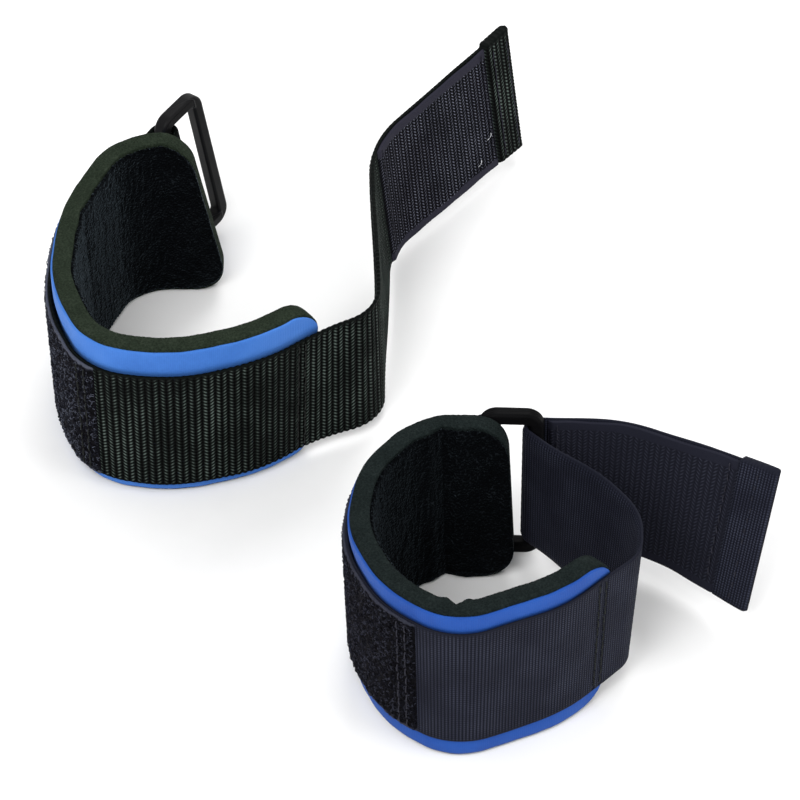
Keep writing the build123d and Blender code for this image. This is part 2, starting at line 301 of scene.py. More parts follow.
# ---- Weaves: rib spacing, yarn spacing, both in millimetres, and how far a yarn slants across its rib ----
OPEN_WEAVE = (2.25, 1.45, 1.05)
THREADED_WEAVE = (1.1, 0.9, 0.0)
THREADED_YARNS = (1.1, 0.9, 0.5)     # as the material draws it; the mesh is too coarse for the slant
HOOK_WEAVE = (1.9, 1.3, 1.2)


# ---- Materials ----
class Shader:
    """A Principled material with short calls for the nodes that drive it."""

    def __init__(self, name, roughness=0.6, sheen=0.0, sheen_tint=(1, 1, 1), specular=0.5):
        self.material = bpy.data.materials.new(name)
        self.material.use_nodes = True
        self.tree = self.material.node_tree
        self.surface = self.tree.nodes["Principled BSDF"]
        settings = {
            "Roughness": roughness, "Specular IOR Level": specular, "Sheen Weight": sheen,
            "Sheen Roughness": 0.5, "Sheen Tint": (*sheen_tint, 1),
        }
        for socket, value in settings.items():
            self.surface.inputs[socket].default_value = value

    def node(self, kind):
        return self.tree.nodes.new("ShaderNode" + kind)

    def put(self, socket, value):
        if isinstance(value, bpy.types.NodeSocket):
            self.tree.links.new(value, socket)
        else:
            socket.default_value = value

    def math(self, operation, a, b=0.0, c=0.0):
        node = self.node("Math")
        node.operation = operation
        for socket, value in zip(node.inputs, (a, b, c)):
            self.put(socket, value)
        return node.outputs[0]

    def times(self, a, b):
        return self.math("MULTIPLY", a, b)

    def plus(self, a, b):
        return self.math("ADD", a, b)

    def minus(self, a, b):
        return self.math("SUBTRACT", a, b)

    def position(self):
        return self.node("TexCoord").outputs["Object"]

    def strip(self):
        """The two strip coordinates in millimetres: along, and up from the floor."""
        uv = self.node("UVMap")
        uv.uv_map = "strip"
        parts = self.node("SeparateXYZ")
        self.put(parts.inputs[0], uv.outputs[0])
        return tuple(self.times(parts.outputs[k], 1 / MM) for k in range(2))

    def ribs(self, cloth, along, up, drift):
        """The round of each rib of a weave, and its yarns from 0 to 1, the slant turning at each rib."""
        pitch, grain, slant = cloth
        rib = self.math("DIVIDE", along, pitch)
        inside = self.minus(self.math("FRACT", rib), 0.5)
        side = self.math("MULTIPLY_ADD", self.math("MODULO", self.math("FLOOR", rib), 2.0), 2.0, -1.0)
        phase = self.math("MULTIPLY_ADD", self.times(inside, side), slant, self.math("DIVIDE", up, grain))
        wave = self.math("COSINE", self.times(self.plus(drift, phase), 2 * pi))
        return self.math("COSINE", self.times(inside, pi)), self.math("MULTIPLY_ADD", wave, 0.5, 0.5)

    def attribute(self, name):
        node = self.node("Attribute")
        node.attribute_name = name
        return node.outputs["Fac"]

    def noise(self, scale, detail=3.0, roughness=0.55, stretch=None):
        node = self.node("TexNoise")
        vector = self.position()
        if stretch is not None:
            mapping = self.node("Mapping")
            mapping.inputs["Scale"].default_value = stretch
            self.put(mapping.inputs["Vector"], vector)
            vector = mapping.outputs[0]
        self.put(node.inputs["Vector"], vector)
        node.inputs["Scale"].default_value = scale
        node.inputs["Detail"].default_value = detail
        node.inputs["Roughness"].default_value = roughness
        return node.outputs["Fac"]

    def cells(self, scale):
        node = self.node("TexVoronoi")
        self.put(node.inputs["Vector"], self.position())
        node.inputs["Scale"].default_value = scale
        return node.outputs["Distance"]

    def ramp(self, value, *stops):
        """A colour ramp. Each stop is a place from 0 to 1 and a colour."""
        node = self.node("ValToRGB")
        self.put(node.inputs[0], value)
        elements = node.color_ramp.elements
        while len(elements) < len(stops):
            elements.new(0.5)
        for element, (place, colour) in zip(elements, stops):
            element.position = place
            element.color = (*colour, 1)
        return node.outputs[0]

    def mix(self, share, under, colour):
        """Lays a share of a plain colour over another."""
        node = self.node("Mix")
        node.data_type = "RGBA"
        for number, value in ((0, share), (6, under), (7, (*colour, 1))):
            self.put(node.inputs[number], value)
        return node.outputs[2]

    def scaled(self, value, low, high):
        """Maps 0 to 1 onto low to high."""
        return self.math("MULTIPLY_ADD", value, high - low, low)

    def bump(self, height, depth, strength=1.0, under=None):
        node = self.node("Bump")
        node.inputs["Strength"].default_value = strength
        node.inputs["Distance"].default_value = depth
        self.put(node.inputs["Height"], height)
        if under is not None:
            self.put(node.inputs["Normal"], under)
        return node.outputs[0]

    def finish(self, colour, normal=None, roughness=None):
        self.put(self.surface.inputs["Base Color"], colour)
        if normal is not None:
            self.put(self.surface.inputs["Normal"], normal)
        if roughness is not None:
            self.put(self.surface.inputs["Roughness"], roughness)
        return self.material


def sponge(name, deep, body, light):
    """Raw cut black sponge: a fine open cell with a dull green cast."""
    s = Shader(name, roughness=0.95, specular=0.05)
    cells = s.cells(1400)
    blotch = s.noise(160)
    tone = s.plus(s.scaled(cells, 0.25, 0.75), s.scaled(blotch, -0.25, 0.25))
    colour = s.ramp(tone, (0.15, deep), (0.55, body), (0.95, light))
    coarse = s.bump(blotch, 0.0006, 0.5)
    return s.finish(colour, s.bump(cells, 0.0005, 0.9, coarse))


def jersey(name, dark, body, light):
    """Smooth knitted nylon bonded to foam: fine upright ribs of loops, with slow changes of tone."""
    s = Shader(name, roughness=0.62, sheen=0.05, sheen_tint=(0.55, 0.7, 1.0), specular=0.15)
    along, up = s.strip()
    wale = s.math("ABSOLUTE", s.math("SINE", s.times(along, pi / 0.7)))
    loop = s.math("SINE", s.math("MULTIPLY_ADD", up, 2 * pi / 0.55, s.times(wale, 1.6)))
    knit = s.math("MULTIPLY_ADD", loop, 0.25, s.times(wale, 0.5))
    slow = s.noise(45)
    fine = s.noise(900)
    tone = s.plus(s.scaled(slow, 0.1, 0.75), s.scaled(fine, -0.08, 0.12))
    tone = s.plus(tone, s.times(knit, 0.12))
    colour = s.ramp(tone, (0.1, dark), (0.5, body), (0.95, light))
    waves = s.bump(slow, 0.0012, 0.4)
    return s.finish(colour, s.bump(knit, 0.00012, 0.6, waves), s.scaled(fine, 0.5, 0.72))


def brushed_pile(name, sheen):
    """Black brushed terry inside the pad."""
    s = Shader(name, roughness=0.95, sheen=sheen, sheen_tint=(0.65, 0.85, 1.0), specular=0.02)
    s.surface.inputs["Sheen Roughness"].default_value = 0.32
    tufts = s.cells(1250)
    drift = s.noise(90)
    tone = s.plus(s.scaled(tufts, 0.15, 0.7), s.scaled(drift, -0.2, 0.25))
    deep, body, light = (0.0002, 0.0002, 0.0003), (0.0016, 0.002, 0.0026), (0.02, 0.025, 0.03)
    colour = s.ramp(tone, (0.15, deep), (0.6, body), (0.95, light))
    return s.finish(colour, s.bump(tufts, 0.0006, 0.8, s.bump(drift, 0.001, 0.5)))


def ribbed(name, cloth, painted_pit_shade, body, light, depth, sheen):
    """Woven webbing: upright ribs of slanted yarns, the slant changing from each rib to the next, with
    painted shade in the valleys and painted highlight on the yarn crests.
    """
    s = Shader(name, sheen=sheen, sheen_tint=(0.7, 0.7, 0.95), specular=0.03)
    rounded, yarn = s.ribs(cloth, *s.strip(), s.times(s.noise(300), 0.385))
    height = s.times(rounded, s.scaled(yarn, 0.45, 1.0))
    patchy = s.noise(70, detail=2.0)
    tone = s.times(height, s.scaled(patchy, 0.5, 1.4))
    inner = s.attribute("inner")
    plain = s.times(s.minus(1.0, inner), 0.32)
    tone = s.plus(s.times(tone, inner), plain)
    height = s.times(height, inner)
    # painted shade and highlight: the pit colour darkens the valleys between yarns, the light colour lightens
    # the yarn crests
    colour = s.ramp(tone, (0.15, painted_pit_shade), (0.62, body), (0.98, light))
    relief = s.bump(height, depth, 0.9, s.bump(s.noise(2600), 0.0002, 0.25))
    return s.finish(colour, relief, s.scaled(yarn, 0.75, 0.5))


def hook_cloth(name, margin_low, margin_high, painted_pit_shade, body, light, edge_tone, depth):
    """Hook tape: a herringbone of tiny hooks between two smooth woven margins, in millimetres up, with
    painted shade between the hooks and painted highlight on them.
    """
    s = Shader(name, roughness=0.6, sheen=0.005, sheen_tint=(0.62, 0.55, 0.85), specular=0.03)
    along, up = s.strip()
    rounded, hooks = s.ribs(HOOK_WEAVE, along, up, s.times(s.noise(260), 0.25))
    hooks = s.times(s.scaled(s.math("POWER", hooks, 1.3), 0.15, 1.0), rounded)
    wander = s.times(s.minus(s.noise(90), 0.5), 2.2)
    height = s.plus(up, wander)
    above = s.math("GREATER_THAN", height, margin_low)
    below = s.math("LESS_THAN", height, margin_high)
    field = s.times(above, below)
    worked = s.times(hooks, field)
    tone = s.times(worked, s.scaled(s.noise(60, detail=2.0), 0.6, 1.3))
    # painted shade and highlight: the pit colour darkens the gaps between hooks, the light colour lightens
    # the hooks
    colour = s.ramp(tone, (0.1, painted_pit_shade), (0.55, body), (0.95, light))
    plain = s.minus(1.0, field)
    colour = s.mix(s.times(plain, 0.85), colour, edge_tone)
    return s.finish(colour, s.bump(worked, depth, 0.9, s.bump(s.noise(1800), 0.0002, 0.4)))


def loop_pile(name, deep, body, light):
    """The curls of loop tape. Each curl has a shade of its own."""
    s = Shader(name, roughness=0.75, sheen=0.02, sheen_tint=(0.62, 0.55, 0.85), specular=0.05)
    fine = s.noise(1500)
    tone = s.plus(s.attribute("shade"), s.scaled(fine, -0.15, 0.15))
    colour = s.ramp(tone, (0.1, deep), (0.6, body), (1.0, light))
    return s.finish(colour, s.bump(fine, 0.0001, 0.5))


SEAM_LINE = 0.16 * MM      # half the width of a mould line


def moulded(name, middle, normal, specular):
    """Black nylon with a fine spark texture and the line where the two halves of the mould met."""
    s = Shader(name, specular=specular)
    spark = s.noise(2200, detail=2.0)
    wear = s.noise(130)
    parts = s.node("VectorMath")
    parts.operation = "DOT_PRODUCT"
    s.put(parts.inputs[0], s.position())
    parts.inputs[1].default_value = normal
    level = s.minus(parts.outputs["Value"], Vector(normal).dot(Vector(middle)))
    away = s.math("DIVIDE", s.math("ABSOLUTE", level), SEAM_LINE)
    seam = s.minus(1.0, s.math("MINIMUM", away, 1.0))
    tone = s.plus(s.scaled(wear, 0.2, 0.8), s.times(seam, 0.35))
    deep, body, light = (0.002, 0.002, 0.0022), (0.004, 0.004, 0.0045), (0.016, 0.016, 0.018)
    colour = s.ramp(tone, (0.2, deep), (0.6, body), (1.0, light))
    normal_out = s.bump(seam, 0.00025, 0.9, s.bump(spark, 0.00008, 0.35))
    return s.finish(colour, normal_out, s.scaled(wear, 0.34, 0.56))


def twisted_thread(name, dark, light):
    """Sewing thread."""
    s = Shader(name, roughness=0.6, sheen=0.02, specular=0.12)
    ply = s.noise(3000, stretch=(1, 1, 0.3))
    return s.finish(s.ramp(ply, (0.3, dark), (0.75, light)), s.bump(ply, 0.0001, 0.6))


def floor_paper():
    """Plain pale paper."""
    s = Shader("floor_paper", roughness=0.9, specular=0.1)
    grain = s.noise(40)
    return s.finish(s.ramp(grain, (0.3, (0.84, 0.84, 0.84)), (0.7, (0.86, 0.86, 0.86))))


# ---- Shapes that the pieces share ----
MIDDLE = PAD_HEIGHT / 2
RING_MIDDLE = RING_STRAP_BASE + STRAP_WIDTH / 2
FLARE = 0.035                 # how far the cuffs open upwards, per height
LEANING = 45 * MM             # the stretch at a keeper over which an end takes up its lean
PRESSED = 0.2 * MM            # how far the strap presses a pad in
PLUMP = 0.9 * MM              # how far the pad swells beside it
FLOOR_GAP = 0.3 * MM          # how far above the floor straps and curls stay
HEM_LIFT = 1.1 * MM
ROLLED = 2.4 * MM             # the width of a strap's thinned edge
PUCKER = 0.55 * MM            # how deep a seam pulls a strap in, and how wide
PUCKER_REACH = 0.7 * MM
CURL = 0.14 * MM              # half the thickness of a curl
SEAM_GAP = 3 * MM             # between the two rows of stitches of a seam
STITCH = 3.0 * MM
STITCH_PITCH = 3.9 * MM
THREAD = 0.24 * MM


def even(start, end, step):
    """Places from start to end, at most a step apart."""
    return np.linspace(start, end, max(2, int(np.ceil((end - start) / step)) + 1))


def pad_places(length):
    """Places along a pad, closer together at its rounded ends."""
    turn = PAD_CORNER * (1 - np.cos(np.linspace(0, pi / 2, 22)))
    middle = even(PAD_CORNER, length - PAD_CORNER, 0.6 * MM)
    return np.concatenate([turn[:-1], middle, length - turn[::-1][1:]])


def pad_half_height(places, length):
    """Half the height of a pad, less where its ends are rounded off."""
    from_end = np.clip(np.minimum(places, length - places), 0, PAD_CORNER)
    return MIDDLE - PAD_CORNER + np.sqrt(PAD_CORNER**2 - (PAD_CORNER - from_end) ** 2)


def crown(heights, strap_low, strap_high):
    """How far the outside of a pad stands out: pressed in under the strap, plump beside it, thin at edges."""
    soft = 3 * MM
    above = smooth(heights, strap_low - soft, strap_low + soft)
    beside = 1 - above * (1 - smooth(heights, strap_high - soft, strap_high + soft))
    edge = np.clip(1 - np.minimum(heights, PAD_HEIGHT - heights) / (2.6 * MM), 0, 1)
    return PLUMP * beside - PRESSED - 0.5 * MM * edge**2


def creased(places, creases):
    """How far the inside of a pad is drawn out at its creases, with a small swelling on each side."""
    total = np.zeros_like(places)
    for place, depth, reach in creases:
        away = np.abs(places - place) / reach
        total += depth * np.exp(-away * 1.8) - 0.45 * depth * np.exp(-((away - 1.5) ** 2) * 2.5)
    return total


def pad_layer(name, route, outer, inner, strap_low, creases, end_lean, rough, seed, across, pile, trim,
              short):
    """One layer of a pad between two depths below its outer face, as a closed solid. trim and short are how
    far it stays back from the pad's edges and its back end, and across counts its points across an edge."""
    places = pad_places(route.length)
    up = 46
    half = pad_half_height(places, route.length) - trim
    share = np.linspace(-1, 1, up)
    share = np.sign(share) * (1 - (1 - np.abs(share)) ** 1.25)
    ends = np.linspace(0, 1, across + 2)[1:-1]
    lift = np.concatenate([share, np.ones(across), share[::-1], -np.ones(across)])
    depth = np.concatenate([np.zeros(up), ends, np.ones(up), ends[::-1]])
    heights = MIDDLE + half[:, None] * lift
    below = outer + (inner - outer) * depth
    offsets = crown(heights, strap_low, strap_low + STRAP_WIDTH) * (1 - depth * 0.85) - below
    offsets = offsets + creased(places, creases)[:, None] * below / PAD_THICKNESS + FLARE * (heights - MIDDLE)
    noise = np.random.default_rng(seed)
    at_edge = np.abs(lift) >= 0.999
    wobble = 0.16 * MM * ripple(places, 9 * MM, seed)[:, None] + rough * noise.uniform(-1, 1, heights.shape)
    dome = 4 * depth * (1 - depth) * 0.35 * MM if across > 3 else 0
    heights = np.maximum(heights + at_edge * np.sign(lift) * (wobble * 0.7 + dome), 0.0)
    if pile:
        tufts = noise.uniform(-1, 1, heights.shape)
        tufts = (tufts + np.roll(tufts, 1, 0) + np.roll(tufts, 1, 1)) / 1.7
        offsets = offsets - (depth > 0.5) * (np.abs(lift) < 1) * pile * (0.4 + 0.6 * tufts)
    lean = -tan(end_lean) * (heights - MIDDLE) * smooth(places, route.length - LEANING, route.length)[:, None]
    back = short * smooth(places, route.length - PAD_CORNER, route.length)[:, None]
    return sweep(name, route, places, offsets, heights, skew=lean - back)


def weave(places, heights, pitch, grain, slant):
    """The height of woven webbing, 0 in the valleys and 1 on the yarns, as its material draws it."""
    rib = places / (pitch * MM)
    inside = rib - np.floor(rib) - 0.5
    side = 2 * np.mod(np.floor(rib), 2) - 1
    yarn = 0.5 + 0.5 * np.cos(2 * pi * (inside * side * slant + heights / (grain * MM)))
    return np.cos(pi * inside) * (0.45 + 0.55 * yarn)


def square(places, heights):
    """The skew of a strip whose ends are cut square."""
    return 0.0


def strap(name, route, start, end, thickness, base, lean, cloth, depth, step, rise, hem=0.0, skew=square,
          matrix=None, wander=0.0, scallop=0.0, seams=()):
    """A stretch of woven webbing. base and lean are functions of the place along it, and seams are where rows
    of stitches pull its outer face in."""
    places = even(start, end, step)
    if hem:
        turn = thickness * (1 - np.cos(np.linspace(0, pi / 2, 9)))
        places = np.concatenate([turn[:-1], places[places > thickness]])
    columns = int(STRAP_WIDTH / rise)
    low = np.zeros(len(places))
    high = np.full(len(places), thickness)
    bottom = base(places)
    folded = np.zeros(len(places))
    if hem:
        folded = 1 - smooth(places, hem - 0.5 * MM, hem + 0.7 * MM)
        high = thickness * (1 + folded)
        bottom = bottom + HEM_LIFT * folded
        inside = places < thickness
        curve = np.sqrt(np.clip(thickness**2 - (thickness - places[inside]) ** 2, 0, None))
        low[inside] = thickness - curve
        high[inside] = thickness + curve
    edge = scallop * np.cos(2 * pi * places / (cloth[0] * MM)) + wander * ripple(places, 31 * MM, 5)
    offsets, heights, outer, inner = band_section(
        low, high, bottom + edge, bottom + STRAP_WIDTH - edge, columns, 0.25 * MM
    )
    heights = np.maximum(heights, FLOOR_GAP)
    relief = weave(places[:, None], heights, *cloth)
    from_edge = np.minimum(heights - bottom[:, None], bottom[:, None] + STRAP_WIDTH - heights)
    taper = np.clip(from_edge / (1.6 * MM), 0, 1)
    room = np.clip((high - low) / thickness, 0, 1)[:, None]
    offsets = offsets - depth * (1 - relief) * (1 * outer - inner) * taper * room
    rolled = np.clip(1 - from_edge / ROLLED, 0, 1)
    offsets = high[:, None] - (high[:, None] - offsets) * (1 - 0.5 * rolled * (1 - 0.8 * folded[:, None]))
    pucker = PUCKER * outer * (0.75 + 0.25 * np.cos(2 * pi * heights / STITCH_PITCH))
    for seam in seams:
        offsets = offsets - pucker * np.exp(-(((places - seam) / PUCKER_REACH) ** 2))[:, None]
    middle = bottom[:, None] + STRAP_WIDTH / 2
    inner_share = np.clip(from_edge / (1.5 * MM), 0, 1) * (outer | inner)
    offsets = offsets + lean(places)[:, None] * (heights - middle)
    marks = (("inner", inner_share.ravel()),)
    return sweep(name, route, places, offsets, heights, skew(places[:, None], heights), matrix, marks)


def tape(name, route, start, end, low, high, base, top, lean, step, columns, rough, seed, skew=square,
         hooks=0.0, deep=0.0):
    """A thin flat tape between two offsets, with uneven edges. hooks is half the height its hooks fill."""
    places = even(start, end, step)
    wave = 0.25 * MM * ripple(places, 17 * MM, seed)
    thin = 0.3 + 0.7 * smooth(np.minimum(places - start, end - places), 0, 1.6 * MM)
    offsets, heights, outer, _ = band_section(
        np.full(len(places), low), low + (high - low) * thin, base(places) + wave, top(places) - wave,
        columns, 0.2 * MM,
    )
    from_edge = np.minimum(heights - base(places)[:, None], top(places)[:, None] - heights)
    shade = np.where(from_edge < 1.2 * MM, 0.8, 0.1)
    offsets = offsets + outer * rough * np.random.default_rng(seed).uniform(-1, 1, offsets.shape)
    if hooks:
        worked = smooth(np.abs(heights - (base(places) + top(places))[:, None] / 2), hooks, hooks - 0.5 * MM)
        relief = weave(places[:, None], heights, *HOOK_WEAVE)
        offsets = offsets - deep * outer * worked * (1 - relief)
    middle = ((base(places) + top(places)) / 2)[:, None]
    offsets = offsets + lean(places)[:, None] * (heights - middle)
    marks = (("shade", shade.ravel()),)
    return sweep(name, route, places, offsets, heights, skew(places[:, None], heights), attributes=marks)


def tubes(name, paths, radius, sides, shades=None):
    """Closed thin tubes along many short paths at once. paths has the shape (count, points, 3)."""
    count, length, _ = paths.shape
    along = np.gradient(paths, axis=1)
    along /= np.linalg.norm(along, axis=2, keepdims=True) + 1e-12
    helper = np.where(np.abs(along[..., 2:3]) > 0.9, np.array([1.0, 0, 0]), np.array([0, 0, 1.0]))
    first = np.cross(along, helper)
    first /= np.linalg.norm(first, axis=2, keepdims=True) + 1e-12
    second = np.cross(along, first)
    angle = np.arange(sides) * 2 * pi / sides
    ring = np.cos(angle)[:, None] * first[:, :, None, :] + np.sin(angle)[:, None] * second[:, :, None, :]
    points = paths[:, :, None, :] + radius * ring
    starts = np.arange(count)[:, None, None] * length * sides
    faces = (stack_faces(length, sides)[None] + starts).reshape(-1, 4).tolist()
    for c in range(count):
        first_point = c * length * sides
        faces.append([first_point + s for s in range(sides)])
        faces.append([first_point + (length - 1) * sides + s for s in reversed(range(sides))])
    marks = () if shades is None else (("shade", np.repeat(shades, length * sides)),)
    return new_mesh(name, points, faces, None, marks)


def surface_frame(route, places, offsets, heights, skew=0.0):
    """Points on a strip and the directions along it, out of it and up, for many places."""
    here = np.stack([*route.points(places + skew, offsets), heights], -1)
    ahead = np.stack([*route.points(places + skew + 0.2 * MM, offsets), heights], -1)
    along = ahead - here
    along /= np.linalg.norm(along, axis=1, keepdims=True)
    up = np.tile([0, 0, 1.0], (len(here), 1))
    out = np.cross(up, along)
    return here, along, out, up


def curls(name, route, places, offsets, heights, size, seed, skew):
    """Curly loops of pile that stand out of a strip at the given places."""
    noise = np.random.default_rng(seed)
    here, along, out, up = surface_frame(route, places, offsets, heights, skew)
    count = len(places)
    turn = noise.uniform(0, pi, count)
    flat = np.cos(turn)[:, None] * along + np.sin(turn)[:, None] * up
    side = np.cross(out, flat)
    tilt = noise.normal(0, 0.5, (count, 2))
    rise = out + tilt[:, :1] * side + tilt[:, 1:] * flat
    rise /= np.linalg.norm(rise, axis=1, keepdims=True)
    radius = size * noise.uniform(0.55, 1.15, count)
    angles = np.radians(np.linspace(-35, 215, 7))
    width = noise.uniform(0.6, 1.1, count)
    paths = (
        here[:, None, :]
        + (radius * width)[:, None, None] * np.cos(angles)[None, :, None] * flat[:, None, :]
        + radius[:, None, None] * (0.45 + np.sin(angles))[None, :, None] * rise[:, None, :]
        + (radius * 0.35)[:, None, None] * np.sin(2 * angles)[None, :, None] * side[:, None, :]
    )
    paths[..., 2] = np.maximum(paths[..., 2], FLOOR_GAP)
    return tubes(name, paths, CURL, 3, noise.uniform(0.05, 0.95, count))


def stitch_row(route, places, offsets, heights, length, seed):
    """Paths of single upright stitches that dip into the cloth at both ends."""
    here, along, out, up = surface_frame(route, places, offsets, heights)
    way = up + np.random.default_rng(seed).normal(0, 0.06, len(places))[:, None] * along
    reach = np.linspace(-1, 1, 7)
    dip = 0.32 * MM * (1 - np.abs(reach) ** 3) - 0.2 * MM
    return (
        here[:, None, :]
        + 0.5 * length * reach[None, :, None] * way[:, None, :]
        + dip[None, :, None] * out[:, None, :]
    )


def constant(value):
    return lambda places: np.full(np.shape(places), value, float)


def rising(*pairs):
    """A smooth function of place through the given (place, value) pairs."""
    stops, values = np.array(pairs, float).T

    def value(places):
        found = np.clip(np.searchsorted(stops, places, side="right") - 1, 0, len(stops) - 2)
        share = smooth(places, stops[found], stops[found + 1])
        return values[found] + (values[found + 1] - values[found]) * share

    return value


def paint(piece, material):
    piece.data.materials.clear()
    piece.data.materials.append(material)


def dress(piece, material, slot, *nodes):
    """Gives a piece its material, and hides the CAD nodes that it stands for. slot is not used."""
    paint(piece, material)
    if nodes:
        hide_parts(*nodes)
    return piece


def carried(piece, by):
    """Lets a piece ride on a body. Given a bend instead of a body, it only bakes the piece's placement into
    its mesh.
    """
    if isinstance(by, str):
        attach(piece, by)
    else:
        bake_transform(piece)


def bar_matrix(route, thickness, lean):
    """Places a keeper's own frame, along the strap, out from the pad and up its bar."""
    way = route.runs[-1][4]
    along = Vector((cos(way) * cos(lean), sin(way) * cos(lean), sin(lean)))
    out = Vector((-sin(way), cos(way), 0))
    up = along.cross(out)
    start = Vector(route.at(route.length, WRAP + thickness, RING_MIDDLE)) - up * RING_MIDDLE
    matrix = np.eye(4)
    for column, direction in enumerate((along, out, up, start)):
        matrix[:3, column] = direction
    return matrix


def keeper_route():
    """The strap's way to a bar, round it and back, seen along the bar. The bar is on its left."""
    reach = hypot(KEEPER_TAIL, WRAP)
    turned = pi + atan2(WRAP, KEEPER_TAIL) - acos(WRAP / reach) + pi / 2
    corners = [(-KEEPER_TAIL, -WRAP)]
    for share in (0.25, 0.75):
        angle = -pi / 2 + turned * share
        out = WRAP / cos(turned / 4)
        corners.append((out * cos(angle), out * sin(angle)))
    corners.append((-KEEPER_TAIL, -WRAP))
    return Route(corners, [WRAP, WRAP])


# ---- Finishes ----
sponge_open = sponge("sponge_open", (0.0055, 0.0085, 0.0052), (0.0155, 0.0225, 0.0145), (0.03, 0.039, 0.027))
sponge_threaded = sponge("sponge_threaded", (0.003, 0.005, 0.005), (0.008, 0.012, 0.0118),
                         (0.017, 0.023, 0.022))
lining_open = brushed_pile("lining_open", 0.14)
lining_threaded = brushed_pile("lining_threaded", 0.07)
blue_open = jersey("blue_jersey_open", (0.016, 0.085, 0.33), (0.042, 0.155, 0.50), (0.075, 0.21, 0.58))
blue_threaded = jersey("blue_jersey_threaded", (0.004, 0.028, 0.18), (0.01, 0.062, 0.3), (0.02, 0.095, 0.38))
# the pit and light colours here are painted shade in the weave's valleys and painted highlight on its yarn
# crests
rib_open = ribbed("webbing_ribbed", OPEN_WEAVE, (0.0002, 0.0003, 0.0003), (0.007, 0.0095, 0.0085),
                  (0.09, 0.118, 0.104), 0.0004, 0.0)
rib_threaded = ribbed("webbing_fine", THREADED_YARNS, (0.0055, 0.006, 0.010), (0.0145, 0.016, 0.0265),
                      (0.037, 0.042, 0.062), 0.0002, 0.012)
# the pit and light colours here are painted shade between the hooks and painted highlight on the hooks
hook_open = hook_cloth("hook_tape_open", 7.8, 50.8, (0.0005, 0.0005, 0.0008), (0.017, 0.018, 0.028),
                       (0.18, 0.19, 0.24), (0.022, 0.0215, 0.033), 0.0006)
hook_threaded = hook_cloth("hook_tape_threaded", 11.2, 53.8, (0.009, 0.0095, 0.015), (0.0135, 0.0145, 0.0225),
                           (0.027, 0.029, 0.043), (0.0135, 0.0142, 0.0225), 0.0003)
loops_open = loop_pile("loop_pile_open", (0.0006, 0.0006, 0.001), (0.013, 0.0145, 0.022), (0.1, 0.11, 0.145))
loops_threaded = loop_pile("loop_pile_threaded", (0.0005, 0.0005, 0.0008), (0.006, 0.0065, 0.0105),
                           (0.045, 0.048, 0.068))
black_thread = twisted_thread("thread_black", (0.003, 0.0035, 0.0035), (0.02, 0.023, 0.021))
slate_thread = twisted_thread("thread_slate", (0.006, 0.006, 0.01), (0.03, 0.03, 0.045))
white_thread = twisted_thread("thread_white", (0.45, 0.47, 0.5), (0.85, 0.87, 0.9))

# ---- Pads ----
# each layer's outer depth, thickness, roughness of its edges, points across an edge, fuzz and cut at the back
PAD_LAYERS = {
    "cover": (0.0, COVER, 0.02 * MM, 1, 0.0, 1.4 * MM),
    "foam": (COVER, FOAM, 0.12 * MM, 12, 0.0, 0.0),
    "lining": (COVER + FOAM, LINING, 0.5 * MM, 2, 0.45 * MM, 0.0),
}
COVER_TRIM = (1.0 * MM, 3.0 * MM)      # how far the cover ends below the foam's edge, in front and behind
LINING_TRIM = 1.3 * MM


def pad(name, route, finishes, cover_slot, strap_base, parts, by, creases, end_lean, seed):
    """Cover, foam and lining of one pad. parts are the starts of the names of its CAD nodes."""
    behind = smooth(pad_places(route.length), 0.5 * route.length, 0.64 * route.length)
    trims = (COVER_TRIM[0] + (COVER_TRIM[1] - COVER_TRIM[0]) * behind, 0.0, LINING_TRIM)
    slots = (cover_slot, "foam", "lining")
    layers = {}
    for number, (layer, (outer, thickness, rough, across, fuzz, short)) in enumerate(PAD_LAYERS.items()):
        piece = pad_layer(
            f"{name}_{layer}", route, outer, outer + thickness, strap_base, creases, end_lean, rough,
            seed + number, across, fuzz, trims[number], short,
        )
        layers[layer] = dress(piece, finishes[number], slots[number], *(f"{part}_{layer}" for part in parts))
    for piece in layers.values():
        carried(piece, by)


def bending(bodies, route, first, last, height=MIDDLE):
    """A bend from one body to the next between two places on a route, as carried takes it."""
    return bodies, route.at(first, 0, height), route.at(last, 0, height)


def around(place, reach):
    return place - reach, place + reach


SOFT_REACH = 14 * MM         # half the stretch over which the pad and the tail bend
WING_BEND = bending(("open_grip", "open_wing"), open_pad, *around(WING_FLEX, SOFT_REACH))
pad("open_pad", open_pad, (blue_open, sponge_open, lining_open), "cover_open", OPEN_STRAP_BASE,
    ("open_front", "open_wing"), WING_BEND, [(118 * MM, 0.5 * MM, 9 * MM), (152 * MM, 0.8 * MM, 5 * MM)],
    radians(12), 11)
front_crease, back_crease = (sum(threaded_pad.bends[number]) / 2 for number in (1, 6))
pad("threaded_pad", threaded_pad, (blue_threaded, sponge_threaded, lining_threaded), "cover_threaded",
    RING_STRAP_BASE, ("threaded",), "threaded_grip",
    [(front_crease, 2.1 * MM, 3.2 * MM), (back_crease, 1.6 * MM, 5 * MM)], radians(3), 21)

# ---- What the straps are made of ----
class Band(NamedTuple):
    """One strap. base and lean are functions of the place along it, and skew also of the height."""

    name: str
    route: Route
    thickness: float
    base: object
    lean: object
    skew: object
    cloth: tuple
    relief: float
    wander: float
    finish: object


HOOK_START = HEM - 0.5 * MM
GROUND = 0.8 * MM
GROUND_MARGIN = 0.4 * MM


def twin(first):
    """The two rows of a seam whose first row is at the given place."""
    return first, first + SEAM_GAP


def stretch(band, part, start, end, step, rise, by, *nodes, **more):
    """A stretch of a strap between two places."""
    piece = strap(
        f"{band.name}_strap_{part}", band.route, start, end, band.thickness, band.base, band.lean, band.cloth,
        band.relief, step, rise, skew=band.skew, wander=band.wander, **more
    )
    carried(dress(piece, band.finish, f"webbing_{band.name}", *nodes), by)


